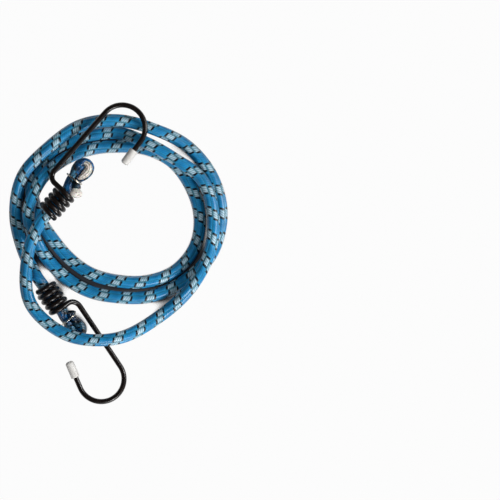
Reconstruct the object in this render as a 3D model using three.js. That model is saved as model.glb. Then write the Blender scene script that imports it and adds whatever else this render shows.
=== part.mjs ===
// A bungee cord laid in three loose loops, with a wire hook coiled round each end.
// Millimetres, +Z up. The loops lie on the plane z = 0, and the origin is under the middle of the part.
import * as THREE from "three";

// The cord: rubber core in a braided sheath
const CORD_DIAMETER = 8;
const SHEATH_WALL = 0.7;
const CORE_GAP = 0.45; // slack between the core and the inside of the sheath
const LYING_FLAT = 0.8; // how much the soft underside gives where the cord lies on a surface
const CORE_SHOWS = 3.4; // length of bare core past the cut edge of the sheath
const CORD_SIDES = 8;
const CORD_STEP = 12; // longest straight step along the cord

// The hooks: one wire each, coiled round the cord, then an elbow, a shank and a bowl
const WIRE_DIAMETER = 3.4;
const COIL_TURNS = 4.25;
const COIL_PITCH = 4;
const COIL_CLEARANCE = 0.4; // between the cord and the inside of the coil
const ELBOW_RADIUS = 6;
const BOWL_RADIUS = 14.6; // to the middle of the wire
const WIRE_SIDES = 8;
const STEPS_PER_TURN = 14;

// The caps on the hooks' tips
const CAP_DIAMETER = 5.6;
const CAP_LENGTH = 11;
const CAP_BORE_GAP = 0.3; // between the wire and the bore, and past the wire's end
const CAP_ROUND = 1.6; // edge radius of the closed end
const CAP_END_WALL = 1.6;

// The clamp rings that hold each folded end
const RING_WIRE = 1.2;
const RING_GAP = 0.75;
const RING_PITCH = 1.8; // sideways step where the ring's two ends pass each other
const RING_LAP = 0.14; // share of a turn by which the ends overlap
const RING_SIDES = 6;

// The two ends. The coil's middle, the heading and pitch of the cord's axis towards the fold, the side
// that the folded leg comes back on and how far the fold hangs. The hooks are bent by hand and differ:
// offset of the shank from the axis where it starts, its lean towards the axis, reach to the start of the
// bowl, lean and length of the tip.
const END_A = {
  letter: "a",
  middle: [-38.9, 31.9, 15.5],
  heading: 48.7,
  pitch: 1.6,
  foldSide: -1,
  foldDrop: 0,
  offset: 14.7,
  shankLean: 0,
  reach: 63.3,
  tipLean: 12,
  tipLength: 7.4,
};
const END_B = {
  letter: "b",
  middle: [-42.2, -29.1, 8.52],
  heading: -53.9,
  pitch: -3.5,
  foldSide: 1,
  foldDrop: 2,
  offset: 11.4,
  shankLean: 2.4,
  reach: 61,
  tipLean: -7.6,
  tipLength: 8.3,
};

// The straight cord through a coil, with room behind it for the hook to slide
const STRAIGHT = [-15.7, -10, -5, 0, 5, 10.2];
// The folded end past the coil: along the axis, towards the leg that comes back, then the shares of the
// full width and height that the clamp and the fold leave
const FOLD = [
  [12.4, -0.5, 0.68, 0.98],
  [15.4, -1.6, 0.54, 0.9],
  [18.2, -2.2, 0.46, 0.85],
  [20.6, -2.2, 0.46, 0.85],
  [24.4, -3, 0.62, 0.97],
  [27.6, -3.3, 0.69, 1],
  [29.9, -2.3, 0.69, 1],
  [30.9, 0, 0.69, 1],
  [29.9, 2.3, 0.69, 1],
  [27.6, 3.3, 0.69, 1],
  [24.4, 3, 0.62, 0.97],
  [20.6, 2.2, 0.46, 0.85],
  [18.2, 2.4, 0.48, 0.87],
  [14.4, 5.3, 0.62, 0.95],
];
const FOLD_START = 10.2;
const FOLD_BULB = 26.4;
const NECK = 19.4; // where the clamp ring sits, along the axis
const NECK_SPREAD = 2.3; // of each leg from the axis there
const NECK_WIDTH = 0.46;
const NECK_HEIGHT = 0.85;

// The loops, anticlockwise from above: radius of each turn about LOOP_CENTRE in sixteen directions from
// FIRST_DIRECTION on, and the lift above a cord that lies on the surface
const LOOP_CENTRE = [0, 24];
const FIRST_DIRECTION = 202.5;
const DIRECTIONS = 16;
const LYING = CORD_DIAMETER / 2 - LYING_FLAT;
const TURN_RADII = [
  [61.8, 79.2, 83.2, 78.7, 69.9, 65.6, 63.2, 60.7, 58.4, 51.5, 49.6, 52.6, 54.6, 59.2, 60.2, 51.6],
  [44.4, 41.8, 41.5, 42.4, 46.2, 50.9, 53, 52, 50.2, 49, 46, 44, 46, 50, 54.4, 57.4],
  [54.6, 52.8, 52.5, 52.7, 56.2, 59.8, 64.6, 66, 64.6, 61.9, 59.2, 60.4, 62, 61.9, 65.9, 66, 65.2],
];
const TURN_LIFTS = [
  [13.7, 12.2, 11, 8.4, 2.4, 8.4, 8.5, 7.2, 6.7, 8.4, 8.6, 3.2, 0, 0, 0, 0],
  [0, 0, 0, 0, 0, 0, 0, 0, 0, 0, 0, 0, 0, 0.8, 8.9, 7.4],
  [0.2, 0, 0, 0, 0, 0, 0, 0, 0, 1.8, 6.6, 7, 6.4, 8.4, 6.6, 0.4, 0],
];
// Where the cord climbs from the loops to the coil of hook B
const CLIMB_B = [-55.6, -9.6, 5];

const radians = THREE.MathUtils.degToRad;
const wireRadius = WIRE_DIAMETER / 2;
const coilRadius = CORD_DIAMETER / 2 + COIL_CLEARANCE + wireRadius;

const material = (color, roughness, metalness) =>
  new THREE.MeshStandardMaterial({ color, roughness, metalness });
const braidedBlue = material(0x2f86bd, 0.75, 0);
const creamRubber = material(0xe6dcc6, 0.6, 0);
const blackCoatedSteel = material(0x16110f, 0.35, 0.3);
const whiteVinyl = material(0xe4e2de, 0.5, 0);
const brightSteel = material(0xb9b9b6, 0.3, 0.9);

// The frame of one end: X along the cord towards the fold, Y to its left, Z up
function endFrame(end) {
  const turned = new THREE.Euler(0, -radians(end.pitch), radians(end.heading), "ZYX");
  return new THREE.Matrix4().makeRotationFromEuler(turned).setPosition(...end.middle);
}

// How far the folded end has sunk below the axis
const sunk = (end, x) => end.foldDrop * THREE.MathUtils.smoothstep(x, FOLD_START, FOLD_BULB);

// Stations of the cord on one end, from the straight behind the coil to the cut end
function endStations(end) {
  const frame = endFrame(end);
  const straight = STRAIGHT.map((x) => [x, 0, 1, 1]);
  return [...straight, ...FOLD].map(([x, y, width, height]) => ({
    point: new THREE.Vector3(x, y * end.foldSide, -sunk(end, x)).applyMatrix4(frame),
    width,
    height,
  }));
}

// Stations round the three loops
function loopStations() {
  const stations = [];
  TURN_RADII.forEach((radii, turn) =>
    radii.forEach((radius, i) => {
      const angle = radians(FIRST_DIRECTION + (360 * i) / DIRECTIONS);
      const x = LOOP_CENTRE[0] + radius * Math.cos(angle);
      const y = LOOP_CENTRE[1] + radius * Math.sin(angle);
      const point = new THREE.Vector3(x, y, LYING + TURN_LIFTS[turn][i]);
      stations.push({ point, width: 1, height: 1 });
    }),
  );
  return stations;
}

// The whole cord, from the cut end at hook A to the cut end at hook B
function cordStations() {
  const climb = { point: new THREE.Vector3(...CLIMB_B), width: 1, height: 1 };
  return [...endStations(END_A).reverse(), ...loopStations(), climb, ...endStations(END_B)];
}

// Rings along a smooth curve through stations, no further apart than step
function along(stations, step) {
  const curve = new THREE.CatmullRomCurve3(stations.map((s) => s.point));
  const last = stations.length - 1;
  const { lerp } = THREE.MathUtils;
  const rings = [];
  for (let i = 0; i < last; i++) {
    const [from, to] = [stations[i], stations[i + 1]];
    const pieces = Math.max(1, Math.ceil(from.point.distanceTo(to.point) / step));
    for (let k = 0; k < pieces + (i === last - 1); k++) {
      const t = k / pieces;
      const tangent = curve.getTangent((i + t) / last);
      const side = tangent.clone().cross(new THREE.Vector3(0, 0, 1)).normalize();
      rings.push({
        point: curve.getPoint((i + t) / last),
        tangent,
        side,
        up: side.clone().cross(tangent),
        width: lerp(from.width, to.width, t),
        height: lerp(from.height, to.height, t),
      });
    }
  }
  return rings;
}

// Least gap between two stretches of one tube that lie further apart along it than skip, and where
function leastGap(rings, radius, skip) {
  const travelled = [0];
  rings.forEach((r, i) => i && travelled.push(travelled[i - 1] + r.point.distanceTo(rings[i - 1].point)));
  const half = (ring, way) =>
    radius * Math.hypot(ring.width * ring.side.dot(way), ring.height * ring.up.dot(way));
  let least = { room: Infinity };
  rings.forEach((a, i) =>
    rings.forEach((b, j) => {
      if (travelled[j] - travelled[i] < skip) return;
      const way = b.point.clone().sub(a.point);
      const distance = way.length();
      way.normalize();
      const room = distance - half(a, way) - half(b, way);
      if (room < least.room) least = { room, a, b };
    }),
  );
  return least;
}

// One ring of points round a layer of the cord, inset from its outside, with a flat side down and
// nothing below the inset
function ringPoints(ring, sides, inset) {
  const halfWidth = (CORD_DIAMETER / 2) * ring.width - inset;
  const halfHeight = (CORD_DIAMETER / 2) * ring.height - inset;
  return Array.from({ length: sides }, (_, i) => {
    const angle = (2 * Math.PI * (i + 0.5)) / sides;
    const p = ring.point
      .clone()
      .addScaledVector(ring.side, halfWidth * Math.cos(angle))
      .addScaledVector(ring.up, -halfHeight * Math.sin(angle));
    p.z = Math.max(p.z, inset);
    return p;
  });
}

function geometryOf(points, triangles) {
  const geometry = new THREE.BufferGeometry();
  geometry.setAttribute("position", new THREE.Float32BufferAttribute(points.flatMap((p) => p.toArray()), 3));
  geometry.setIndex(triangles);
  geometry.computeVertexNormals();
  return geometry;
}

// Triangles of the skin between rings of points, the first of which has index first
function skin(first, count, sides, outwards) {
  const triangles = [];
  for (let r = 0; r < count - 1; r++) {
    for (let i = 0; i < sides; i++) {
      const a = first + r * sides + i;
      const b = first + r * sides + ((i + 1) % sides);
      const [c, d] = [a + sides, b + sides];
      triangles.push(...(outwards ? [a, b, d, a, d, c] : [a, d, b, a, c, d]));
    }
  }
  return triangles;
}

// A solid tube through rings of points
function solidTube(ringsOfPoints) {
  const sides = ringsOfPoints[0].length;
  const points = ringsOfPoints.flat();
  const end = points.length - sides;
  const triangles = skin(0, ringsOfPoints.length, sides, true);
  for (let i = 1; i < sides - 1; i++) {
    triangles.push(0, i + 1, i, end, end + i, end + i + 1);
  }
  return geometryOf(points, triangles);
}

// A hollow tube between outer and inner rings of points, open at both ends
function hollowTube(outer, inner) {
  const sides = outer[0].length;
  const points = [...outer.flat(), ...inner.flat()];
  const bore = outer.length * sides;
  const last = bore - sides;
  const triangles = [...skin(0, outer.length, sides, true), ...skin(bore, inner.length, sides, false)];
  for (let i = 0; i < sides; i++) {
    const j = (i + 1) % sides;
    triangles.push(i, bore + j, j, i, bore + i, bore + j);
    triangles.push(last + i, last + j, bore + last + j, last + i, bore + last + j, bore + last + i);
  }
  return geometryOf(points, triangles);
}

// The core runs past the sheath's cut edges by CORE_SHOWS
function bareEnds(rings) {
  const first = rings[0];
  const last = rings[rings.length - 1];
  const past = (ring, distance) => ({
    ...ring,
    point: ring.point.clone().addScaledVector(ring.tangent, distance),
  });
  return [past(first, -CORE_SHOWS), ...rings, past(last, CORE_SHOWS)];
}

function cordMeshes() {
  const rings = along(cordStations(), CORD_STEP);
  const layer = (list, inset) => list.map((ring) => ringPoints(ring, CORD_SIDES, inset));
  const sheath = hollowTube(layer(rings, 0), layer(rings, SHEATH_WALL));
  const core = solidTube(layer(bareEnds(rings), SHEATH_WALL + CORE_GAP));
  const fine = along(cordStations(), 2);
  const least = leastGap(fine, CORD_DIAMETER / 2, 2 * CORD_DIAMETER);
  const spots = [least.a, least.b].map((ring) => ring.point.toArray().map((v) => v.toFixed(1)).join(" "));
  console.log("cord: least gap to itself", least.room.toFixed(2), "mm between", spots.join(" and "));
  const sheathMesh = new THREE.Mesh(sheath, braidedBlue);
  sheathMesh.name = "braided_sheath";
  const coreMesh = new THREE.Mesh(core, creamRubber);
  coreMesh.name = "rubber_core";
  return [sheathMesh, coreMesh];
}

// Rings along a bent wire, whose sections are carried along without twisting
function wireRings(points, radius, sides) {
  const count = points.length;
  const tangents = points.map((_, i) =>
    points[Math.min(i + 1, count - 1)].clone().sub(points[Math.max(i - 1, 0)]).normalize(),
  );
  const across = new THREE.Vector3(0, 0, 1).cross(tangents[0]);
  if (across.lengthSq() < 1e-6) across.set(0, 1, 0);
  return points.map((point, i) => {
    across.addScaledVector(tangents[i], -across.dot(tangents[i])).normalize();
    const up = tangents[i].clone().cross(across);
    return Array.from({ length: sides }, (_, k) => {
      const angle = (2 * Math.PI * k) / sides;
      return point
        .clone()
        .addScaledVector(across, radius * Math.cos(angle))
        .addScaledVector(up, radius * Math.sin(angle));
    });
  });
}

// Points of an arc from start about centre, turning by angle about axis
function arc(centre, start, axis, angle, steps) {
  const spoke = start.clone().sub(centre);
  return Array.from({ length: steps + 1 }, (_, i) =>
    spoke.clone().applyAxisAngle(axis, (angle * i) / steps).add(centre),
  );
}

// The least distance between the middles of neighbouring turns, less the wire
function coilGap(coil) {
  let least = Infinity;
  coil.forEach((p, i) =>
    coil.slice(i + STEPS_PER_TURN / 2).forEach((q) => {
      least = Math.min(least, p.distanceTo(q) - WIRE_DIAMETER);
    }),
  );
  return least;
}

// The middle of a hook's wire in its own frame, from the free end of the coil to the tip
function hookLine(end) {
  const leave = Math.acos(coilRadius / end.offset); // the wire leaves where its tangent meets the shank
  const steps = Math.round(COIL_TURNS * STEPS_PER_TURN);
  const half = (COIL_TURNS * COIL_PITCH) / 2;
  const coil = Array.from({ length: steps + 1 }, (_, i) => {
    const angle = leave + 2 * Math.PI * COIL_TURNS * (1 - i / steps);
    const x = -half + (2 * half * i) / steps;
    return new THREE.Vector3(x, coilRadius * Math.cos(angle), coilRadius * Math.sin(angle));
  });
  const exit = new THREE.Vector3(0, Math.sin(leave), -Math.cos(leave));
  const left = coil[steps];
  const corner = left.clone().addScaledVector(exit, -left.z / exit.z);
  const shankLean = radians(end.shankLean);
  const ahead = new THREE.Vector3(Math.cos(shankLean), -Math.sin(shankLean), 0);
  const bend = exit.angleTo(ahead);
  const bendStart = corner.clone().addScaledVector(exit, -ELBOW_RADIUS * Math.tan(bend / 2));
  const axis = exit.clone().cross(ahead).normalize();
  const bendCentre = bendStart.clone().addScaledVector(axis.clone().cross(exit), ELBOW_RADIUS);
  const elbow = arc(bendCentre, bendStart, axis, bend, 6);
  const bowlStart = corner.clone().addScaledVector(ahead, (end.reach - corner.x) / ahead.x);
  const inward = new THREE.Vector3(ahead.y, -ahead.x, 0);
  const bowlCentre = bowlStart.clone().addScaledVector(inward, BOWL_RADIUS);
  const turn = Math.PI - radians(end.tipLean);
  const bowl = arc(bowlCentre, bowlStart, new THREE.Vector3(0, 0, -1), turn, 16);
  const tipWay = ahead.clone().applyAxisAngle(new THREE.Vector3(0, 0, -1), turn);
  const bowlEnd = bowl[bowl.length - 1];
  const capStart = bowlEnd.clone().addScaledVector(tipWay, end.tipLength);
  const inCap = CAP_LENGTH - CAP_END_WALL - CAP_BORE_GAP;
  const tip = capStart.clone().addScaledVector(tipWay, inCap);
  console.log("hook", end.letter + ": least gap of the coil to itself", coilGap(coil).toFixed(2), "mm");
  return { points: [...coil, ...elbow, ...bowl, tip], capStart, tipWay };
}

// The cap's profile: a blind bore over the wire's end and a rounded closed end, turned about its axis
function capGeometry() {
  const outer = CAP_DIAMETER / 2;
  const bore = wireRadius + CAP_BORE_GAP;
  const depth = CAP_LENGTH - CAP_END_WALL;
  const profile = [new THREE.Vector2(0, depth), new THREE.Vector2(bore, depth), new THREE.Vector2(bore, 0)];
  profile.push(new THREE.Vector2(outer, 0));
  for (let i = 0; i <= 4; i++) {
    const angle = (Math.PI / 2) * (i / 4);
    const r = outer - CAP_ROUND * (1 - Math.cos(angle));
    profile.push(new THREE.Vector2(r, CAP_LENGTH - CAP_ROUND * (1 - Math.sin(angle))));
  }
  profile.push(new THREE.Vector2(0, CAP_LENGTH));
  return new THREE.LatheGeometry(profile, 14);
}

// One hook with its cap, placed on the cord
function hookGroup(end) {
  const line = hookLine(end);
  const hook = new THREE.Mesh(solidTube(wireRings(line.points, wireRadius, WIRE_SIDES)), blackCoatedSteel);
  hook.name = "hook_" + end.letter;
  const cap = new THREE.Mesh(capGeometry(), whiteVinyl);
  cap.name = "tip_cap_" + end.letter;
  cap.position.copy(line.capStart);
  cap.quaternion.setFromUnitVectors(new THREE.Vector3(0, 1, 0), line.tipWay);
  const group = new THREE.Group().add(hook, cap);
  group.applyMatrix4(endFrame(end));
  return group;
}

// A ring of round wire closed over both legs of a fold, its ends passing side by side
function clampRing(end) {
  const legWide = NECK_SPREAD + (CORD_DIAMETER / 2) * NECK_WIDTH;
  const legHigh = (CORD_DIAMETER / 2) * NECK_HEIGHT;
  const room = RING_GAP + RING_WIRE / 2;
  const half = legWide + room;
  const tall = (legHigh + room) / Math.sqrt(1 - (NECK_SPREAD / half) ** 2); // clears the top of each leg
  const turns = 1 + RING_LAP;
  const steps = 24;
  const points = Array.from({ length: steps + 1 }, (_, i) => {
    const turn = (i / steps - 0.5) * turns;
    const angle = Math.PI / 2 + 2 * Math.PI * turn;
    const x = NECK + RING_PITCH * turn;
    return new THREE.Vector3(x, half * Math.cos(angle), tall * Math.sin(angle) - sunk(end, NECK));
  });
  const mesh = new THREE.Mesh(solidTube(wireRings(points, RING_WIRE / 2, RING_SIDES)), brightSteel);
  mesh.name = "clamp_ring_" + end.letter;
  mesh.applyMatrix4(endFrame(end));
  return mesh;
}

const bungee = new THREE.Group();
bungee.add(...cordMeshes());
bungee.add(hookGroup(END_A), hookGroup(END_B));
bungee.add(clampRing(END_A), clampRing(END_B));

// The origin goes under the middle of the part
const middle = new THREE.Box3().setFromObject(bungee, true).getCenter(new THREE.Vector3());
bungee.position.set(-middle.x, -middle.y, 0);
console.log("middle moved by", (-middle.x).toFixed(3), (-middle.y).toFixed(3), "mm");

export default bungee;
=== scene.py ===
"""A bungee cord laid in three loose loops, with a wire hook coiled round each end."""
import math

import bmesh
import bpy
from mathutils import Euler, Matrix, Vector


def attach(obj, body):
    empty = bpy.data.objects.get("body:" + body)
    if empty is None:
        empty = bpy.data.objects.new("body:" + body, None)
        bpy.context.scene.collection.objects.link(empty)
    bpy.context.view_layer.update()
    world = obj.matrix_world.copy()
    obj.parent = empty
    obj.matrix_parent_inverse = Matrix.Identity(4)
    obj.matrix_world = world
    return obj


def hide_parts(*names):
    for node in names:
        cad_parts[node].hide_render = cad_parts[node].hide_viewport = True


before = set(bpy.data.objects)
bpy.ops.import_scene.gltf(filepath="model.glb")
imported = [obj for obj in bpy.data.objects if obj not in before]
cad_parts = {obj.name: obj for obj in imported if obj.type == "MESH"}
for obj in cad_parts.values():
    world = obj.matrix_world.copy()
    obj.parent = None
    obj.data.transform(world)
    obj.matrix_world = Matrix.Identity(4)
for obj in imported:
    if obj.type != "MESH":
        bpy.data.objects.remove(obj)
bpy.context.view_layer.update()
scene = bpy.context.scene
scene.view_settings.view_transform = "Standard"

MM = 0.001  # in metres
MOVED = Vector((0.001, 0.749, 0))  # puts the origin under the middle of the part, in mm

# Camera, straight above the middle of the photograph, with a long lens
PHOTO_MIDDLE = (84.3, 2.35)
PHOTO_WIDTH = 320.0
CAMERA_HEIGHT = 2600.0
LENS_PLANE = 8.0  # height at which the frame has its stated width
SENSOR = 36.0
FARTHEST = 100.0  # in metres, past the far edge of the floor

camera_data = bpy.data.cameras.new("camera")
camera = bpy.data.objects.new("camera", camera_data)
scene.collection.objects.link(camera)
camera.location = (PHOTO_MIDDLE[0] * MM, PHOTO_MIDDLE[1] * MM, CAMERA_HEIGHT * MM)
camera_data.sensor_width = SENSOR
camera_data.lens = SENSOR * (CAMERA_HEIGHT - LENS_PLANE) / PHOTO_WIDTH
camera_data.clip_end = FARTHEST
scene.camera = camera

# The cord's route, in mm and degrees: a fold and a straight at each end, and three loose turns between
CORD_RADIUS = 4.0
SHEATH_WALL = 0.7
LYING = 3.2  # height of the cord's middle where its soft underside is flattened
END_A = dict(
    middle=(-38.9, 31.9, 15.5), heading=48.7, pitch=1.6,
    fold_side=-1, fold_drop=0.0, fold_shift=(-0.8, -1.5, 0.4),
    offset=14.7, shank_lean=0.0, reach=63.3, tip_lean=4.5, tip_length=6.8,
)
END_B = dict(
    middle=(-42.2, -29.1, 8.52), heading=-53.9, pitch=-3.5,
    fold_side=1, fold_drop=2.0, fold_shift=(-2.2, 0.6, -2.0),
    offset=11.4, shank_lean=2.4, reach=61.0, tip_lean=-10.3, tip_length=7.4,
)
STRAIGHT = (-15.7, -10, -5, 0, 5, 10.2)  # stations along an end, from the middle of its coil
# Stations of a fold: along the end, aside from it, and the shares of the cord's width and height there
FOLD = (
    (12.4, -0.7, 0.84, 0.98),
    (15.4, -1.7, 0.72, 0.9),
    (18.2, -2.2, 0.62, 0.85),
    (20.6, -2.2, 0.62, 0.85),
    (24.4, -2.9, 0.9, 0.97),
    (27.6, -3.1, 0.93, 1.0),
    (29.9, -2.2, 0.82, 1.0),
    (30.9, 0.0, 0.78, 1.0),
    (29.9, 2.2, 0.82, 1.0),
    (27.6, 3.1, 0.85, 1.0),
    (24.4, 2.9, 0.8, 0.97),
    (20.6, 2.2, 0.62, 0.85),
    (18.2, 2.4, 0.66, 0.87),
    (15.2, 3.9, 0.88, 0.96),
)
FOLD_START, NECK, FOLD_BULB, FOLD_END = 10.2, 19.4, 26.4, 30.9
FOLD_FINER = 3  # times as many rings to a length in the fold at hook A
LOOP_CENTRE = (0.0, 24.0)
FIRST_BEARING = 202.5
BEARING_STEP = 22.5
# Distance from that centre and lift off the surface, bearing by bearing, for each of the turns
TURN_RADII = (
    (61.8, 79.2, 83.2, 78.7, 69.9, 65.6, 63.2, 60.7, 58.2, 50.9, 49.4, 52.6, 54.6, 59.2, 60.2, 51.6),
    (44.4, 41.8, 41.5, 42.4, 46.2, 50.9, 53, 52, 49.8, 48.6, 46, 44, 46, 50, 54.4, 57.4),
    (54.6, 52.8, 52.5, 52.7, 56.2, 59.8, 64.6, 66, 64.7, 62.3, 59.4, 60.4, 62, 61.9, 65.9, 66, 65.2),
)
TURN_LIFTS = (
    (13.7, 12.2, 11, 8.4, 2.4, 8.4, 8.5, 7.2, 6.7, 8.4, 8.6, 3.2, 0, 0, 0, 0),
    (0, 0, 0, 0, 0, 0, 0, 0, 0, 0, 0, 0, 0, 0.8, 8.9, 7.4),
    (0.2, 0, 0, 0, 0, 0, 0, 0, 0, 1.8, 6.6, 7, 6.4, 8.4, 6.6, 0.4, 0),
)
CLIMB_B = (-55.6, -9.6, 5.0)  # where the cord rises towards the coil of hook B


def end_frame(end):
    turn = Euler((0, -math.radians(end["pitch"]), math.radians(end["heading"])), "XYZ")
    return Matrix.Translation(Vector(end["middle"]) + MOVED) @ turn.to_matrix().to_4x4()


def sunk(end, x):
    """How far the fold has dropped below the line of its coil."""
    t = min(max((x - FOLD_START) / (FOLD_BULB - FOLD_START), 0), 1)
    return end["fold_drop"] * t * t * (3 - 2 * t)


def shifted(end, x, y):
    """A point of the fold in its end's frame, moved by the shift that builds up between coil and neck."""
    t = min(max((x - FOLD_START) / (NECK - FOLD_START), 0), 1)
    u = min(max((x - NECK) / (FOLD_END - NECK), 0), 1)
    at_neck, aside, at_end = end["fold_shift"]
    along = at_neck * t * (1 - u) + at_end * u
    return Vector((x + along, (y + aside * t) * end["fold_side"], -sunk(end, x)))


def end_stations(end):
    place = end_frame(end)
    stations = [(place @ Vector((x, 0, 0)), 1, 1) for x in STRAIGHT]
    for x, y, wide, high in FOLD:
        stations.append((place @ shifted(end, x, y), wide, high))
    return stations


def loop_stations():
    stations = []
    for radii, lifts in zip(TURN_RADII, TURN_LIFTS):
        for i, (radius, lift) in enumerate(zip(radii, lifts)):
            a = math.radians(FIRST_BEARING + BEARING_STEP * i)
            x = LOOP_CENTRE[0] + radius * math.cos(a)
            y = LOOP_CENTRE[1] + radius * math.sin(a)
            stations.append((Vector((x, y, LYING + lift)) + MOVED, 1, 1))
    return stations


def spline_point(p0, p1, p2, p3, t):
    """A point between p1 and p2 on a centripetal curve through four points."""
    d0, d1, d2 = (max((b - a).length, 1e-6) ** 0.5 for a, b in ((p0, p1), (p1, p2), (p2, p3)))
    m1 = ((p1 - p0) / d0 - (p2 - p0) / (d0 + d1) + (p2 - p1) / d1) * d1
    m2 = ((p2 - p1) / d1 - (p3 - p1) / (d1 + d2) + (p3 - p2) / d2) * d1
    return p1 + m1 * t + (p2 * 3 - p1 * 3 - m1 * 2 - m2) * t ** 2 + (p1 * 2 - p2 * 2 + m1 + m2) * t ** 3


def cord_rings(step):
    """Rings along the cord: middle, outward side, up, shares of width and height, length so far."""
    stations = end_stations(END_A)[::-1] + loop_stations()
    stations += [(Vector(CLIMB_B) + MOVED, 1, 1)] + end_stations(END_B)
    points = [s[0] for s in stations]
    points = [points[0] * 2 - points[1]] + points + [points[-1] * 2 - points[-2]]
    line = []
    for i in range(len(stations) - 1):
        here = step / FOLD_FINER if i < len(FOLD) else step
        pieces = max(1, math.ceil((points[i + 2] - points[i + 1]).length / here))
        for k in range(pieces + (i == len(stations) - 2)):
            t = k / pieces
            shares = [stations[i][n] * (1 - t) + stations[i + 1][n] * t for n in (1, 2)]
            line.append((spline_point(*points[i:i + 4], t), *shares))
    rings, so_far = [], 0.0
    for i, (point, width, height) in enumerate(line):
        before, after = line[max(i - 1, 0)][0], line[min(i + 1, len(line) - 1)][0]
        ahead = (after - before).normalized()
        side = ahead.cross(Vector((0, 0, 1))).normalized()
        so_far += (point - line[i - 1][0]).length if i else 0
        rings.append(dict(point=point, ahead=ahead, side=side, up=side.cross(ahead), width=width,
                          height=height, at=so_far))
    return rings


# Materials
def linear(hex_colour):
    """An sRGB hex colour as linear red, green, blue and 1."""
    parts = [int(hex_colour[i:i + 2], 16) / 255 for i in (0, 2, 4)]
    return [c / 12.92 if c <= 0.04045 else ((c + 0.055) / 1.055) ** 2.4 for c in parts] + [1]


def node(tree, kind, inputs=(), **settings):
    """Adds a node. inputs gives a value, an output socket or a node for each input, by name or number."""
    made = tree.nodes.new(kind)
    for name, value in settings.items():
        setattr(made, name, value)
    for key, value in dict(inputs).items():
        if isinstance(value, bpy.types.Node):
            value = value.outputs[0]
        if isinstance(value, bpy.types.NodeSocket):
            tree.links.new(value, made.inputs[key])
        else:
            made.inputs[key].default_value = value
    return made


def new_material(name):
    material = bpy.data.materials.new(name)
    material.use_nodes = True
    material.node_tree.nodes.clear()
    return material, material.node_tree


def finish_material(tree, shader):
    node(tree, "ShaderNodeOutputMaterial", {"Surface": shader.outputs[0]})


def fill_ramp(ramp, stops, interpolation="LINEAR"):
    ramp.color_ramp.interpolation = interpolation
    elements = ramp.color_ramp.elements
    while len(elements) < len(stops):
        elements.new(1)
    for element, (place, colour) in zip(elements, stops):
        element.position = place
        element.color = linear(colour) if isinstance(colour, str) else [colour] * 3 + [1]


# The braid's pattern, in mm: six rows round the cord. In each, a blue float, a black tick, a white float
# and another tick repeat every PERIOD, and each row is a step on from the one beside it.
PERIOD = 15.1
ROWS = 6
ROW_STEP = 3.0  # from a row to the next, but for one seam along the cord that makes up the difference
TICK_SLANT = 1.5  # that a tick leans across its row
YARN_SLANT = 1.2  # that the yarns of a float lean further
YARN_PITCH = 1.5
FIBRE_PITCH = 0.35
THREADS = 12  # of rubber in the core, round its outside
TWIST_LENGTH = 520.0  # of cord in which the rows go round once
CORD_LENGTH = 1270.0
NEAR_END_SPAN = (44.0, 66.0)  # from a cut end: darker and teal-tinted up to the first, plain past the second
CUT = (6.0, 12.0)  # the same for the darkening at the cut edge


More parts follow.
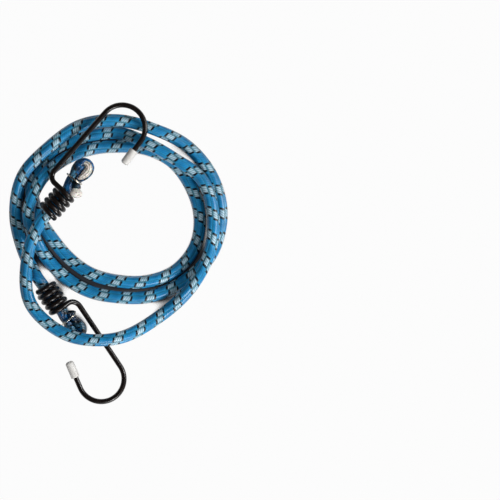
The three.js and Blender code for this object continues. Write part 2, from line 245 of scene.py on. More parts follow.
def braid_material():
    """Braided polypropylene sleeve: silky blue and white yarn floats, black marker yarns, soft gloss."""
    material, tree = new_material("braided polypropylene sleeve")
    place = node(tree, "ShaderNodeTexCoord").outputs["Object"]
    uv = node(tree, "ShaderNodeUVMap", uv_map="braid")
    split = node(tree, "ShaderNodeSeparateXYZ", {0: uv})
    length, rows = split.outputs[0], split.outputs[1]
    # floats wander by a few tenths of a millimetre over 14 mm
    wander = node(tree, "ShaderNodeTexNoise", {"Vector": place, "Scale": 1 / (14 * MM), "Detail": 1.0})
    wander = node(tree, "ShaderNodeMapRange", {0: wander, 3: -0.5 / PERIOD, 4: 0.5 / PERIOD})
    length_here = node(tree, "ShaderNodeMath", {0: length, 1: wander}, operation="ADD")
    whole_row = node(tree, "ShaderNodeMath", {0: rows}, operation="FLOOR")
    row = node(tree, "ShaderNodeMath", {0: whole_row, 1: ROWS}, operation="MODULO")
    across = node(tree, "ShaderNodeMath", {0: rows}, operation="FRACT")
    stepped = node(tree, "ShaderNodeMath", {
        0: row, 1: -ROW_STEP / PERIOD, 2: length_here,
    }, operation="MULTIPLY_ADD")
    along = node(tree, "ShaderNodeMath", {
        0: across, 1: -TICK_SLANT / PERIOD, 2: stepped,
    }, operation="MULTIPLY_ADD")
    phase = node(tree, "ShaderNodeMath", {0: along}, operation="FRACT")
    floats = node(tree, "ShaderNodeValToRGB", {0: phase})
    fill_ramp(floats, (
        (0.0, "2692c8"), (0.12, "1d87c0"), (0.3, "197cb4"), (0.5, "248ec4"), (0.55, "2692c8"),
        (0.57, "b6d7e9"), (0.94, "a2ccdf"), (0.96, "2692c8"),
    ))
    # along the edges of a row the yarns dip under; there the white ones are painted a darker teal as shade
    # and the blue ones painted lighter as a sheen
    edges = node(tree, "ShaderNodeValToRGB", {0: phase})
    fill_ramp(edges, (
        (0.0, "329dce"), (0.3, "238abe"), (0.55, "329dce"),
        (0.57, "61a1b6"), (0.94, "5798b0"), (0.96, "329dce"),
    ))
    middle = node(tree, "ShaderNodeValToRGB", {0: across})
    fill_ramp(middle, ((0.06, 0.0), (0.2, 1.0), (0.74, 1.0), (0.88, 0.0)))
    yarns = node(tree, "ShaderNodeMix", {0: middle, 6: edges, 7: floats}, data_type="RGBA")
    # a marker yarn crosses only the middle of its row
    ticks = node(tree, "ShaderNodeValToRGB", {0: phase})
    fill_ramp(ticks, (
        (0.506, 0.0), (0.518, 1.0), (0.6, 1.0), (0.612, 0.0),
        (0.896, 0.0), (0.908, 1.0), (0.985, 1.0), (0.997, 0.0),
    ))
    reach = node(tree, "ShaderNodeValToRGB", {0: across})
    fill_ramp(reach, ((0.05, 0.0), (0.12, 1.0), (0.83, 1.0), (0.9, 0.0)))
    tick = node(tree, "ShaderNodeMath", {0: ticks, 1: reach}, operation="MULTIPLY")
    colour = node(tree, "ShaderNodeMix", {
        0: tick, 6: yarns.outputs[2], 7: linear("02050f"),
    }, data_type="RGBA")
    # painted shade in the hollows between yarns: deeper in the white floats than in the blue
    hollow_shade_depths = node(tree, "ShaderNodeValToRGB", {0: phase})
    fill_ramp(hollow_shade_depths, ((0.0, 0.2), (0.55, 0.2), (0.57, 0.5), (0.94, 0.5), (0.96, 0.2)))
    # yarns side by side in each float, with painted shade in the hollows between them: plain in the white
    # ones, faint in the blue
    yarn_at = node(tree, "ShaderNodeMath", {
        0: across, 1: -YARN_SLANT / PERIOD, 2: along,
    }, operation="MULTIPLY_ADD")
    yarn_turn = node(tree, "ShaderNodeMath", {
        0: yarn_at, 1: 2 * math.pi * PERIOD / YARN_PITCH,
    }, operation="MULTIPLY")
    yarn_wave = node(tree, "ShaderNodeMath", {0: yarn_turn}, operation="SINE")
    yarn = node(tree, "ShaderNodeMapRange", {
        0: yarn_wave, 1: -1.0, 2: 1.0, 3: 1.0, 4: 0.0,
    }, interpolation_type="SMOOTHSTEP")
    hollow_shade = node(tree, "ShaderNodeMath", {0: yarn, 1: hollow_shade_depths}, operation="MULTIPLY")
    # fibres a third of a millimetre apart, drawn out along the yarns
    fibre_place = node(tree, "ShaderNodeCombineXYZ", {0: yarn_at, 1: rows})
    fine = node(tree, "ShaderNodeTexNoise", {
        "Vector": fibre_place, "Scale": PERIOD / FIBRE_PITCH, "Detail": 1.0,
    })
    grain = node(tree, "ShaderNodeMapRange", {0: fine, 3: 0.62, 4: 1.38})
    # painted shade along the groove between two rows
    groove = node(tree, "ShaderNodeValToRGB", {0: across})
    fill_ramp(groove, ((0.0, 0.5), (0.1, 1.0), (0.9, 1.0), (1.0, 0.5)))
    # fresher and duller dye in patches of 18 mm, and a darker teal tint near the ends
    patch = node(tree, "ShaderNodeTexNoise", {"Vector": place, "Scale": 1 / (18 * MM), "Detail": 2.0})
    dye = node(tree, "ShaderNodeMapRange", {0: patch, 1: 0.3, 2: 0.7, 3: 0.8, 4: 1.12})
    to_end = node(tree, "ShaderNodeMath", {0: length, 1: CORD_LENGTH / PERIOD / 2}, operation="PINGPONG")
    near_end = node(tree, "ShaderNodeMapRange", {0: to_end, 1: NEAR_END_SPAN[0] / PERIOD, 2: NEAR_END_SPAN[1] / PERIOD})
    end_tint = node(tree, "ShaderNodeValToRGB", {0: near_end})
    fill_ramp(end_tint, ((0.0, "6694a8"), (1.0, "ffffff")))
    # there the sleeve is crumpled too: creases 3 mm apart, painted darker in their folds as shade and
    # lighter on their crests as highlight
    crumple = node(tree, "ShaderNodeTexNoise", {"Vector": place, "Scale": 1 / (3 * MM), "Detail": 2.0})
    crease = node(tree, "ShaderNodeMapRange", {0: crumple, 1: 0.38, 2: 0.62, 3: 0.3, 4: 1.6})
    creased = node(tree, "ShaderNodeMix", {0: near_end, 2: crease, 3: 1.0})
    # and the last of the sleeve, at its cut edge, is darkest
    cut = node(tree, "ShaderNodeMapRange", {
        0: to_end, 1: CUT[0] / PERIOD, 2: CUT[1] / PERIOD, 3: 0.3, 4: 1.0,
    })
    # the yarns' crests, as relief for the bump and as the share left clear of the painted shade in the
    # hollows
    raised_and_lit = node(tree, "ShaderNodeMath", {0: 1.0, 1: hollow_shade}, operation="SUBTRACT")
    shade = raised_and_lit
    for darker in (grain, groove, dye, creased, cut):
        shade = node(tree, "ShaderNodeMath", {0: shade, 1: darker}, operation="MULTIPLY")
    end_tinted = node(tree, "ShaderNodeMix", {
        0: 1.0, 6: colour.outputs[2], 7: end_tint,
    }, data_type="RGBA", blend_type="MULTIPLY")
    shaded = node(tree, "ShaderNodeMix", {
        0: 1.0, 6: end_tinted.outputs[2], 7: shade,
    }, data_type="RGBA", blend_type="MULTIPLY")
    height = node(tree, "ShaderNodeMath", {0: fine, 1: 0.4, 2: raised_and_lit}, operation="MULTIPLY_ADD")
    wrinkles = node(tree, "ShaderNodeBump", {"Height": creased, "Strength": 0.5, "Distance": 0.6 * MM})
    bump = node(tree, "ShaderNodeBump", {
        "Height": height, "Strength": 0.4, "Distance": 0.2 * MM, "Normal": wrinkles,
    })
    rough = node(tree, "ShaderNodeMapRange", {0: fine, 3: 0.26, 4: 0.42})
    shader = node(tree, "ShaderNodeBsdfPrincipled", {
        "Base Color": shaded.outputs[2], "Roughness": rough, "Normal": bump, "IOR": 1.49,
        "Specular IOR Level": 0.55,
    })
    finish_material(tree, shader)
    return material


def rubber_material():
    """Natural rubber threads: pale cream, matt, with painted shade in the lines between the threads of the
    bundle.
    """
    material, tree = new_material("natural rubber threads")
    place = node(tree, "ShaderNodeTexCoord").outputs["Object"]
    uv = node(tree, "ShaderNodeUVMap", uv_map="braid")
    split = node(tree, "ShaderNodeSeparateXYZ", {0: uv})
    # THREADS round the bundle: two to a row of the braid
    turn = node(tree, "ShaderNodeMath", {
        0: split.outputs[1], 1: math.pi * THREADS / ROWS,
    }, operation="MULTIPLY")
    wave = node(tree, "ShaderNodeMath", {0: turn}, operation="SINE")
    thread = node(tree, "ShaderNodeMath", {0: wave}, operation="ABSOLUTE")
    mottle = node(tree, "ShaderNodeTexNoise", {"Vector": place, "Scale": 1 / (1.4 * MM), "Detail": 3.0})
    mottle = node(tree, "ShaderNodeMapRange", {0: mottle, 1: 0.32, 2: 0.6})
    # darker between the threads as painted shade, and mottled at random
    tone = node(tree, "ShaderNodeMath", {0: thread, 1: mottle}, operation="MULTIPLY")
    colour = node(tree, "ShaderNodeValToRGB", {0: tone})
    fill_ramp(colour, ((0.0, "8a7f73"), (0.22, "bcb3a8"), (0.5, "dcd5cc"), (0.8, "ece8e1")))
    bump = node(tree, "ShaderNodeBump", {"Height": thread, "Strength": 0.6, "Distance": 0.3 * MM})
    shader = node(tree, "ShaderNodeBsdfPrincipled", {
        "Base Color": colour, "Roughness": 0.55, "Normal": bump, "IOR": 1.52,
        "Subsurface Weight": 0.1, "Subsurface Scale": 1 * MM,
    })
    finish_material(tree, shader)
    return material


def wire_material():
    """Steel wire dipped in black enamel: brown-black, glossy, with slight runs and rubbed places."""
    material, tree = new_material("black enamelled steel wire")
    place = node(tree, "ShaderNodeTexCoord").outputs["Object"]
    runs = node(tree, "ShaderNodeTexNoise", {"Vector": place, "Scale": 1 / (5.5 * MM), "Detail": 3.0})
    colour = node(tree, "ShaderNodeValToRGB", {0: runs})
    fill_ramp(colour, ((0.3, "0a0605"), (0.62, "120a08"), (0.85, "22150f")))
    rough = node(tree, "ShaderNodeMapRange", {0: runs, 1: 0.3, 2: 0.75, 3: 0.25, 4: 0.36})
    shader = node(tree, "ShaderNodeBsdfPrincipled", {
        "Base Color": colour, "Roughness": rough, "IOR": 1.5, "Specular IOR Level": 0.45,
    })
    finish_material(tree, shader)
    return material


def vinyl_material():
    """Dip-moulded white vinyl: soft satin, slightly milky, with faint grey scuffs."""
    material, tree = new_material("dip-moulded white vinyl")
    place = node(tree, "ShaderNodeTexCoord").outputs["Object"]
    scuff = node(tree, "ShaderNodeTexNoise", {"Vector": place, "Scale": 1 / (4.2 * MM), "Detail": 1.0})
    colour = node(tree, "ShaderNodeValToRGB", {0: scuff})
    fill_ramp(colour, ((0.3, "cdcac6"), (0.5, "d9d7d3"), (0.75, "e2e0dd")))
    bump = node(tree, "ShaderNodeBump", {"Height": scuff, "Strength": 0.02, "Distance": 0.4 * MM})
    shader = node(tree, "ShaderNodeBsdfPrincipled", {
        "Base Color": colour, "Roughness": 0.42, "Normal": bump, "IOR": 1.53,
    })
    finish_material(tree, shader)
    return material


def ring_material():
    """Bright drawn steel wire: fine lengthwise draw lines and a warm tarnish in places."""
    material, tree = new_material("bright drawn steel wire")
    place = node(tree, "ShaderNodeTexCoord").outputs["Object"]
    tarnish = node(tree, "ShaderNodeTexNoise", {"Vector": place, "Scale": 1 / (2.9 * MM), "Detail": 2.0})
    colour = node(tree, "ShaderNodeValToRGB", {0: tarnish})
    fill_ramp(colour, ((0.35, "a89c86"), (0.6, "d6d3cc")))
    bump = node(tree, "ShaderNodeBump", {"Height": tarnish, "Strength": 0.15, "Distance": 0.2 * MM})
    shader = node(tree, "ShaderNodeBsdfPrincipled", {
        "Base Color": colour, "Metallic": 1.0, "Roughness": 0.27, "Normal": bump,
    })
    finish_material(tree, shader)
    return material


braid = braid_material()
rubber = rubber_material()
enamel = wire_material()
vinyl = vinyl_material()
bright_steel = ring_material()


def new_piece(name, vertices, faces, material, uvs=None):
    """A smooth mesh object from points in mm, with one UV pair for each corner of each face."""
    mesh = bpy.data.meshes.new(name)
    mesh.from_pydata([p * MM for p in vertices], [], faces)
    if uvs is not None:
        layer = mesh.uv_layers.new(name="braid")
        layer.data.foreach_set("uv", [c for corners in uvs for pair in corners for c in pair])
    mesh.materials.append(material)
    mesh.shade_smooth()
    piece = bpy.data.objects.new(name, mesh)
    scene.collection.objects.link(piece)
    return piece


# The braided sheath: a closed shell with ridges along the rows, a bore, and an opened place in the
# fold at hook A where the braid has parted over the core
SIDES = 56
RING_STEP = 1.0
SHEATH_MEAN = 3.93
LAID_FLAT = 0.01  # height of the flattened underside
RIDGE = 0.5  # from the groove between two rows to the crest of a row
RIDGE_POWER = 0.6  # below 1 gives broad crests and narrow grooves
RIDGE_MEAN = 0.62
LIP_LENGTH = 1.2  # over which the cut edge draws in
LIP_DEPTH = 0.25
# The parted place: its middle along the cord and round it, in mm and degrees, and its reach from there
PARTED_AT = 13.6
PARTED_FACING = 92
PARTED_REACH = (8.0, 80)
PARTED_DEPTH = 1.9  # that the sheath's edge tucks in under the core
TUCK_SHARE = 0.13  # of the way to the middle, over which it tucks in
RIM_HEIGHT = 0.2  # of the bunched yarns round the parted place
RIM_MIDDLE = -0.05  # and where they are, as a share of the reach
RIM_SPREAD = 0.08
CLOSE_RINGS = 30  # length at end A, with the parted place, that has every ring in the bore and the core
BORE_EVERY = 8
CORE_EVERY = 6
PATH_EVERY = 4


def in_parting(at, angle):
    """How far inside the parted place a point of the sheath is: 1 in the middle, 0 at its edge."""
    a = (math.degrees(angle) + 180) % 360 - 180
    return 1 - math.hypot((at - PARTED_AT) / PARTED_REACH[0], (a - PARTED_FACING) / PARTED_REACH[1])


def tucked(at, angle):
    """How far a point of the sheath is drawn in under the core, which shows above it."""
    t = min(max(in_parting(at, angle) / TUCK_SHARE, 0), 1)
    return PARTED_DEPTH * t * t * (3 - 2 * t)


def row_across(at, angle):
    """Rows counted round the cord, which turn slowly along it."""
    return ROWS * (angle / (2 * math.pi) + at / TWIST_LENGTH)


def layer_point(ring, angle, radius):
    """A point at angle round the cord on a layer that has the given radius where it isn't squeezed."""
    inset = CORD_RADIUS - radius
    wide = CORD_RADIUS * ring["width"] - inset
    high = CORD_RADIUS * ring["height"] - inset
    point = ring["point"] + ring["side"] * (wide * math.cos(angle)) + ring["up"] * (high * math.sin(angle))
    point.z = max(point.z, max(inset, 0.0) + LAID_FLAT)
    return point


def sheath_piece():
    rings = cord_rings(RING_STEP)
    total = rings[-1]["at"]
    angles = [2 * math.pi * j / SIDES for j in range(SIDES + 1)]
    last = len(rings) - 1
    inner = [i for i, r in enumerate(rings) if r["at"] < CLOSE_RINGS or i % BORE_EVERY == 0 or i == last]
    vertices, faces, uvs = [], [], []

    def add(corners, pairs):
        faces.append(corners[::-1])
        uvs.append(pairs[::-1])

    for ring in rings:
        for angle in angles[:-1]:
            ridge = abs(math.sin(math.pi * row_across(ring["at"], angle))) ** RIDGE_POWER
            lip = max(0.0, 1 - min(ring["at"], total - ring["at"]) / LIP_LENGTH)
            rim = max(0.0, 1 - abs(in_parting(ring["at"], angle) - RIM_MIDDLE) / RIM_SPREAD)
            radius = SHEATH_MEAN + RIDGE * (ridge - RIDGE_MEAN) - LIP_DEPTH * lip ** 2 + RIM_HEIGHT * rim
            vertices.append(layer_point(ring, angle, radius - tucked(ring["at"], angle)))
    first_inner = len(vertices)
    for i in inner:
        for angle in angles[:-1]:
            radius = CORD_RADIUS - SHEATH_WALL - tucked(rings[i]["at"], angle)
            vertices.append(layer_point(rings[i], angle, radius))

    def outer(i, j):
        return i * SIDES + j % SIDES

    def bore(n, j):
        return first_inner + n * SIDES + j % SIDES

    def pair(i, j):
        return (rings[i]["at"] / PERIOD, row_across(rings[i]["at"], angles[j]))

    for i in range(last):
        for j in range(SIDES):
            add([outer(i, j), outer(i, j + 1), outer(i + 1, j + 1), outer(i + 1, j)],
                [pair(i, j), pair(i, j + 1), pair(i + 1, j + 1), pair(i + 1, j)])
    for n in range(len(inner) - 1):
        a, b = inner[n], inner[n + 1]
        for j in range(SIDES):
            add([bore(n, j), bore(n + 1, j), bore(n + 1, j + 1), bore(n, j + 1)],
                [pair(a, j), pair(b, j), pair(b, j + 1), pair(a, j + 1)])
    end = len(inner) - 1
    for j in range(SIDES):
        add([outer(0, j + 1), outer(0, j), bore(0, j), bore(0, j + 1)], [pair(0, j)] * 4)
        add([outer(last, j), outer(last, j + 1), bore(end, j + 1), bore(end, j)], [pair(last, j)] * 4)
    piece = new_piece("sheath", vertices, faces, braid, uvs)
    path = [r["point"] * MM for r in rings[::PATH_EVERY]] + [rings[-1]["point"] * MM]
    return piece, path, rings


# The core: rubber threads, bare past the cut edge at hook A and showing where the sheath has parted
CORE_RADIUS = 3.0
CORE_SIDES = 32
THREAD_DEPTH = 0.12  # of the grooves between its threads
CORE_INSET = 0.1  # by which the bottoms of those grooves lie inside the core's radius
BULGE = 0.85  # by which the core swells out through the parted sheath
BULGE_RISE = 2.4
BULGE_POWER = 0.7
SUNK_B = 1.0  # depth of the core's end in the sheath at hook B
KNOB_A = 5.8  # bare core past the cut edge at hook A
KNOB_STEPS = 8
KNOB_SWELL = 1.6  # by which it swells where the sheath lets go of it
KNOB_FREED = 1.7  # times in the knob's length that it could have swollen fully
KNOB_SHARES = (0.99, 1.02)  # of the cord's width and height, once it isn't squeezed
KNOB_TIP = 0.4  # share of the knob's length from which it is rounded off
KNOB_ROUND = 2.2
EDGE_GAP = 0.2  # from the cut edge to where the knob starts
BARE = -1  # stands for the place along the cord of sections past the cut edge
PLAIN = ROWS / THREADS / 2  # the crest of a thread, for the cut ends, where no threads can be told apart


def core_piece(rings):
    last = rings[-1]["at"] - SUNK_B
    kept = [r for i, r in enumerate(rings)
            if r["at"] < CLOSE_RINGS or (i % CORE_EVERY == 0 and r["at"] < last)]
    angles = [2 * math.pi * j / CORE_SIDES for j in range(CORE_SIDES + 1)]
    vertices, sections = [], []

    def section(ring, swell, at):
        sections.append(at)
        for angle in angles[:-1]:
            bulge = max(0.0, in_parting(at, angle)) if at > 0 else 0.0
            thread = THREAD_DEPTH * abs(math.sin(math.pi * THREADS / ROWS * row_across(at, angle)))
            radius = CORE_RADIUS - CORE_INSET + thread + BULGE * min(1, BULGE_RISE * bulge) ** BULGE_POWER
            vertices.append(layer_point(ring, angle, radius + swell))

    def pair(i, j):
        at = sections[i]
        return (at / PERIOD, row_across(at, angles[j]) if at > 0 else PLAIN)

    edge = kept[0]
    for k in range(KNOB_STEPS, 0, -1):
        t = k / KNOB_STEPS
        freed = math.sin(math.pi / 2 * min(1, t * KNOB_FREED))
        past = dict(
            edge,
            point=edge["point"] - edge["ahead"] * (KNOB_A * t + EDGE_GAP),
            width=edge["width"] + (KNOB_SHARES[0] - edge["width"]) * freed,
            height=edge["height"] + (KNOB_SHARES[1] - edge["height"]) * freed,
        )
        tip = max(0.0, (t - KNOB_TIP) / (1 - KNOB_TIP))
        round_off = KNOB_ROUND * (1 - math.sqrt(max(0.0, 1 - tip ** 2)))
        section(past, KNOB_SWELL * freed - round_off, BARE)
    for ring in kept:
        section(ring, 0, ring["at"])
    faces, uvs = [], []
    for i in range(len(sections) - 1):
        for j in range(CORE_SIDES):
            k = (j + 1) % CORE_SIDES
            here, onward = i * CORE_SIDES, (i + 1) * CORE_SIDES
            faces.append([here + j, onward + j, onward + k, here + k])
            uvs.append([pair(i, j), pair(i + 1, j), pair(i + 1, j + 1), pair(i, j + 1)])
    top = (len(sections) - 1) * CORE_SIDES
    for first, order in ((0, range(CORE_SIDES)), (top, range(CORE_SIDES - 1, -1, -1))):
        faces.append([first + j for j in order])
        uvs.append([(0.0, PLAIN)] * CORE_SIDES)
    return new_piece("core", vertices, faces, rubber, uvs)


# A round wire along a line of edges
def wire_tree():
    tree = bpy.data.node_groups.new("round wire along its line", "GeometryNodeTree")
    tree.interface.new_socket("Geometry", in_out="INPUT", socket_type="NodeSocketGeometry")
    for name, kind in (
        ("Wire Radius", "NodeSocketFloat"), ("Sides", "NodeSocketInt"), ("Finish", "NodeSocketMaterial"),
    ):
        tree.interface.new_socket(name, in_out="INPUT", socket_type=kind)
    tree.interface.new_socket("Geometry", in_out="OUTPUT", socket_type="NodeSocketGeometry")
    given = node(tree, "NodeGroupInput").outputs
    line = node(tree, "GeometryNodeMeshToCurve", {"Mesh": given["Geometry"]})
    section = node(tree, "GeometryNodeCurvePrimitiveCircle", {
        "Resolution": given["Sides"], "Radius": given["Wire Radius"],
    })
    wire = node(tree, "GeometryNodeCurveToMesh", {
        "Curve": line.outputs[0], "Profile Curve": section.outputs[0], "Fill Caps": True,
    })
    whole = node(tree, "GeometryNodeRealizeInstances", {"Geometry": wire.outputs[0]})
    finished = node(tree, "GeometryNodeSetMaterial", {
        "Geometry": whole.outputs[0], "Material": given["Finish"],
    })
    node(tree, "NodeGroupOutput", {"Geometry": finished.outputs[0]})
    return tree


round_wire = wire_tree()


def made_by(tree, name, mesh, values):
    """Runs a tree on a mesh and keeps the result as a plain mesh object."""
    source = bpy.data.objects.new(name + "_line", mesh)
    scene.collection.objects.link(source)
    modifier = source.modifiers.new("nodes", "NODES")
    modifier.node_group = tree
    sockets = {s.name: s.identifier for s in tree.interface.items_tree if s.in_out == "INPUT"}
    for key, value in values.items():
        modifier[sockets[key]] = value
    depsgraph = bpy.context.evaluated_depsgraph_get()
    result = bpy.data.meshes.new_from_object(source.evaluated_get(depsgraph))
    source.modifiers.remove(modifier)
    bpy.data.objects.remove(source)
    result.name = name
    piece = bpy.data.objects.new(name, result)
    scene.collection.objects.link(piece)
    result.shade_smooth()
    return piece


def wire_piece(name, points, radius, sides, material):
    mesh = bpy.data.meshes.new(name + "_line")
    mesh.from_pydata([p * MM for p in points], [(i, i + 1) for i in range(len(points) - 1)], [])
    return made_by(round_wire, name, mesh, {"Wire Radius": radius * MM, "Sides": sides, "Finish": material})


# The hooks, in mm
WIRE_RADIUS = 1.7
WIRE_SIDES = 20
COIL_TURNS = 4.25
COIL_PITCH = 4.0
COIL_FIT = 0.4  # between the cord and the coil
COIL_RADIUS = CORD_RADIUS + COIL_FIT + WIRE_RADIUS
TURN_STEPS = 48
COIL_STEPS = round(COIL_TURNS * TURN_STEPS)
ELBOW_RADIUS = 6.0
ELBOW_STEPS = 16
BOWL_RADIUS = 14.6
BOWL_STEPS = 48
CAP_RADIUS = 2.8
CAP_LENGTH = 11.0
CAP_END_WALL = 1.6
CAP_FIT = 0.05  # between the wire and the bore
CAP_END_FIT = 0.3  # between the wire's end and the end of the bore
CAP_TAPER = 0.05
CAP_SIDE = (0.5, 2.3)  # start of the tapered side, and how much shorter than the cap it is
CAP_MOUTH = 0.3  # radii of the rim's inner and outer edges
CAP_RIM = 0.35
CAP_DOME = (1.55, 1.75)  # width and height of the rounding of the far end
CAP_SIDES = 40
DOME_STEPS = 8


def arc(centre, start, axis, angle, steps):
    spoke = start - centre
    return [centre + Matrix.Rotation(angle * i / steps, 3, axis) @ spoke for i in range(steps + 1)]


def hook_line(end):
    """The middle of a hook's wire in its own frame, and where its cap starts and points."""
    leave = math.acos(COIL_RADIUS / end["offset"])
    half = COIL_TURNS * COIL_PITCH / 2
    points = []
    for i in range(COIL_STEPS + 1):
        a = leave + 2 * math.pi * COIL_TURNS * (1 - i / COIL_STEPS)
        x = -half + 2 * half * i / COIL_STEPS
        points.append(Vector((x, COIL_RADIUS * math.cos(a), COIL_RADIUS * math.sin(a))))
    out = Vector((0, math.sin(leave), -math.cos(leave)))
    left = points[-1]
    corner = left - out * (left.z / out.z)
    shank_lean = math.radians(end["shank_lean"])
    ahead = Vector((math.cos(shank_lean), -math.sin(shank_lean), 0))
    bend = out.angle(ahead)
    start = corner - out * (ELBOW_RADIUS * math.tan(bend / 2))
    axis = out.cross(ahead).normalized()
    points += arc(start + axis.cross(out) * ELBOW_RADIUS, start, axis, bend, ELBOW_STEPS)
    bowl_start = corner + ahead * ((end["reach"] - corner.x) / ahead.x)
    bowl = bowl_start + Vector((ahead.y, -ahead.x, 0)) * BOWL_RADIUS
    turn = math.pi - math.radians(end["tip_lean"])
    points += arc(bowl, bowl_start, Vector((0, 0, -1)), turn, BOWL_STEPS)
    tip_way = Matrix.Rotation(-turn, 3, "Z") @ ahead
    cap_start = points[-1] + tip_way * end["tip_length"]
    points.append(cap_start + tip_way * (CAP_LENGTH - CAP_END_WALL - CAP_END_FIT))
    return points, cap_start, tip_way


def cap_piece(name, place, start, way):
    """A dipped vinyl cap: a rolled rim round the wire, a slight taper and a domed end."""
    bore = WIRE_RADIUS + CAP_FIT
    deep = CAP_LENGTH - CAP_END_WALL
    profile = [(0.0, deep), (bore, deep), (bore, CAP_RIM)]
    for a in (0.3, 0.8, 1.3):
        profile.append((bore + CAP_MOUTH - CAP_MOUTH * math.cos(a), CAP_MOUTH - CAP_MOUTH * math.sin(a)))
    for a in (0.0, 0.5, 1.0, 1.57):
        profile.append((CAP_RADIUS - CAP_RIM + CAP_RIM * math.sin(a), CAP_RIM - CAP_RIM * math.cos(a)))
    for t in (0.3, 0.6, 1.0):
        profile.append((CAP_RADIUS - CAP_TAPER * t, CAP_SIDE[0] + (CAP_LENGTH - CAP_SIDE[1]) * t))
    wide, high = CAP_DOME
    for k in range(1, DOME_STEPS + 1):
        a = math.pi / 2 * k / DOME_STEPS
        r = (CAP_RADIUS - CAP_TAPER - wide) + wide * math.cos(a)
        profile.append((r, CAP_LENGTH - high + high * math.sin(a)))
    profile.append((0.0, CAP_LENGTH))
    turn = Vector((0, 0, 1)).rotation_difference(way).to_matrix()
    vertices, faces = [], []
    for r, z in profile:
        for k in range(CAP_SIDES):
            a = 2 * math.pi * k / CAP_SIDES
            vertices.append(place @ (start + turn @ Vector((r * math.cos(a), r * math.sin(a), z))))
    for i in range(len(profile) - 1):
        here, onward = i * CAP_SIDES, (i + 1) * CAP_SIDES
        for k in range(CAP_SIDES):
            n = (k + 1) % CAP_SIDES
            faces.append([here + k, here + n, onward + n, onward + k])
    piece = new_piece(name, vertices, faces, vinyl)
    mend_poles(piece.data)
    return piece


def mend_poles(mesh):
    """Joins the doubled points on the axis of a turned shape and points its faces outwards."""
    work = bmesh.new()
    work.from_mesh(mesh)
    bmesh.ops.remove_doubles(work, verts=work.verts, dist=1e-6)
    bmesh.ops.dissolve_degenerate(work, edges=work.edges, dist=1e-7)
    bmesh.ops.recalc_face_normals(work, faces=work.faces)
    work.to_mesh(mesh)
    work.free()
    mesh.shade_smooth()


# The clamp rings, in mm
RING_WIRE = 1.2
LEG_ASIDE = 2.3  # of the fold's two squeezed legs in the ring, with the shares of their width and height
LEG_WIDE = 0.46
LEG_HIGH = 0.85
RING_FIT = 0.75
RING_HALF = LEG_ASIDE + CORD_RADIUS * LEG_WIDE + RING_FIT + RING_WIRE / 2
LEG_SPAN = math.sqrt(1 - (LEG_ASIDE / RING_HALF) ** 2)
RING_TALL = (CORD_RADIUS * LEG_HIGH + RING_FIT + RING_WIRE / 2) / LEG_SPAN
RING_PITCH = 1.8
RING_LAP = 0.14  # of a turn, by which the wire's ends pass each other
RING_STEPS = 96
RING_SIDES = 14


def ring_line(end):
    place, points = end_frame(end), []
    for i in range(RING_STEPS + 1):
        turn = (i / RING_STEPS - 0.5) * (1 + RING_LAP)
        a = math.pi / 2 + 2 * math.pi * turn
        point = Vector((RING_PITCH * turn, RING_HALF * math.cos(a), RING_TALL * math.sin(a)))
        points.append(place @ (point + shifted(end, NECK, 0)))
    return points


# Put together
sheath, cord_path, cord_line = sheath_piece()
core = core_piece(cord_line)
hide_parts("braided_sheath")
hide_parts("rubber_core")
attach(sheath, "cord")
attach(core, "cord")
for letter, end in (("a", END_A), ("b", END_B)):
    place = end_frame(end)
    points, cap_start, tip_way = hook_line(end)
    hook = wire_piece(f"wire_hook_{letter}", [place @ p for p in points], WIRE_RADIUS, WIRE_SIDES, enamel)
    cap = cap_piece(f"vinyl_cap_{letter}", place, cap_start, tip_way)
    ring = wire_piece(f"ring_{letter}", ring_line(end), RING_WIRE / 2, RING_SIDES, bright_steel)
    for piece, stands_for, slot, body in (
        (hook, f"hook_{letter}", "black_coated_steel", f"hook_{letter}"),
        (cap, f"tip_cap_{letter}", "white_vinyl", f"hook_{letter}"),
        (ring, f"clamp_ring_{letter}", "bright_steel", "cord"),
    ):
        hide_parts(stands_for)
        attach(piece, body)

# Pale floor, in metres, so wide that its edge is seen only from very low down
FLOOR_CORNERS = ((-30, -20), (30, -20), (30, 40), (-30, 40))
FLOOR_DROP = 0.2 * MM  # that the cord's underside stands clear of it
floor_mesh = bpy.data.meshes.new("floor")
floor_mesh.from_pydata([(x, y, -FLOOR_DROP) for x, y in FLOOR_CORNERS], [], [(0, 1, 2, 3)])
floor = bpy.data.objects.new("floor", floor_mesh)
scene.collection.objects.link(floor)

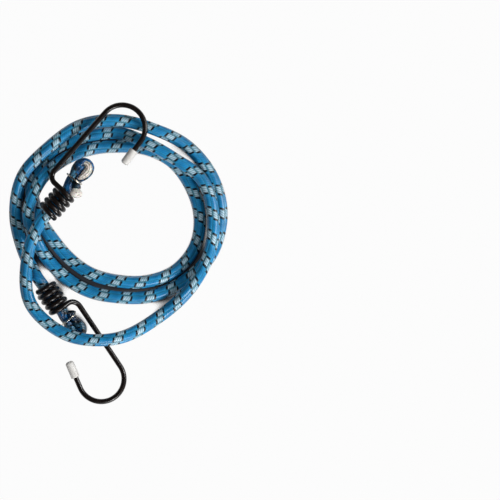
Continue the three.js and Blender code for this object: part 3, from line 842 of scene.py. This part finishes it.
# White paper: glows white where it lies open, and is left to its own shadow between strands close together
SHUT_IN = 8 * MM  # within which neighbours take the glow away
OPENNESS = (0.42, 0.54)  # shares of open sky between which the glow comes up
PAPER_WHITE = 0.97
paper, tree = new_material("white paper sweep")
seen = node(tree, "ShaderNodeLightPath")
matt = node(tree, "ShaderNodeBsdfDiffuse", {"Color": linear("58585c")})
glow = node(tree, "ShaderNodeEmission", {"Color": linear("ffffff")})
open_sky = node(tree, "ShaderNodeAmbientOcclusion", {"Distance": SHUT_IN}, samples=32)
lit = node(tree, "ShaderNodeMapRange", {
    "Value": open_sky.outputs["AO"], "From Min": OPENNESS[0], "From Max": OPENNESS[1],
    "To Min": 0.0, "To Max": PAPER_WHITE,
}, interpolation_type="SMOOTHSTEP")
mirrored = node(tree, "ShaderNodeMath", {
    0: seen.outputs["Is Glossy Ray"], 1: seen.outputs["Is Transmission Ray"],
}, operation="ADD")
shown = node(tree, "ShaderNodeMath", {0: seen.outputs["Is Camera Ray"], 1: mirrored}, operation="ADD")
share = node(tree, "ShaderNodeMath", {0: shown, 1: lit}, operation="MULTIPLY")
finish_material(tree, node(tree, "ShaderNodeMixShader", {0: share, 1: matt, 2: glow}))
floor_mesh.materials.append(paper)

# Dim white walls all round, soft lamps below and beside the picture, and a fill from above
world = bpy.data.worlds.new("white studio")
scene.world = world
world.use_nodes = True
world.node_tree.nodes.clear()
back = node(world.node_tree, "ShaderNodeBackground", {"Color": linear("ffffff"), "Strength": 0.06})
node(world.node_tree, "ShaderNodeOutputWorld", {"Surface": back})


def area_light(name, where, size, watts, in_gloss):
    data = bpy.data.lights.new(name, "AREA")
    data.shape = "DISK"
    data.size = size
    data.energy = watts
    lamp = bpy.data.objects.new(name, data)
    scene.collection.objects.link(lamp)
    lamp.location = where
    lamp.visible_glossy = in_gloss
    lamp.rotation_euler = (-Vector(where)).to_track_quat("-Z", "Y").to_euler()


area_light("key", (0.45, -1.0, 0.6), 0.4, 11.5, True)
area_light("side", (1.0, 0.15, 0.6), 0.4, 9, True)
area_light("fill", (-0.4, 0.1, 1.45), 0.7, 5, False)
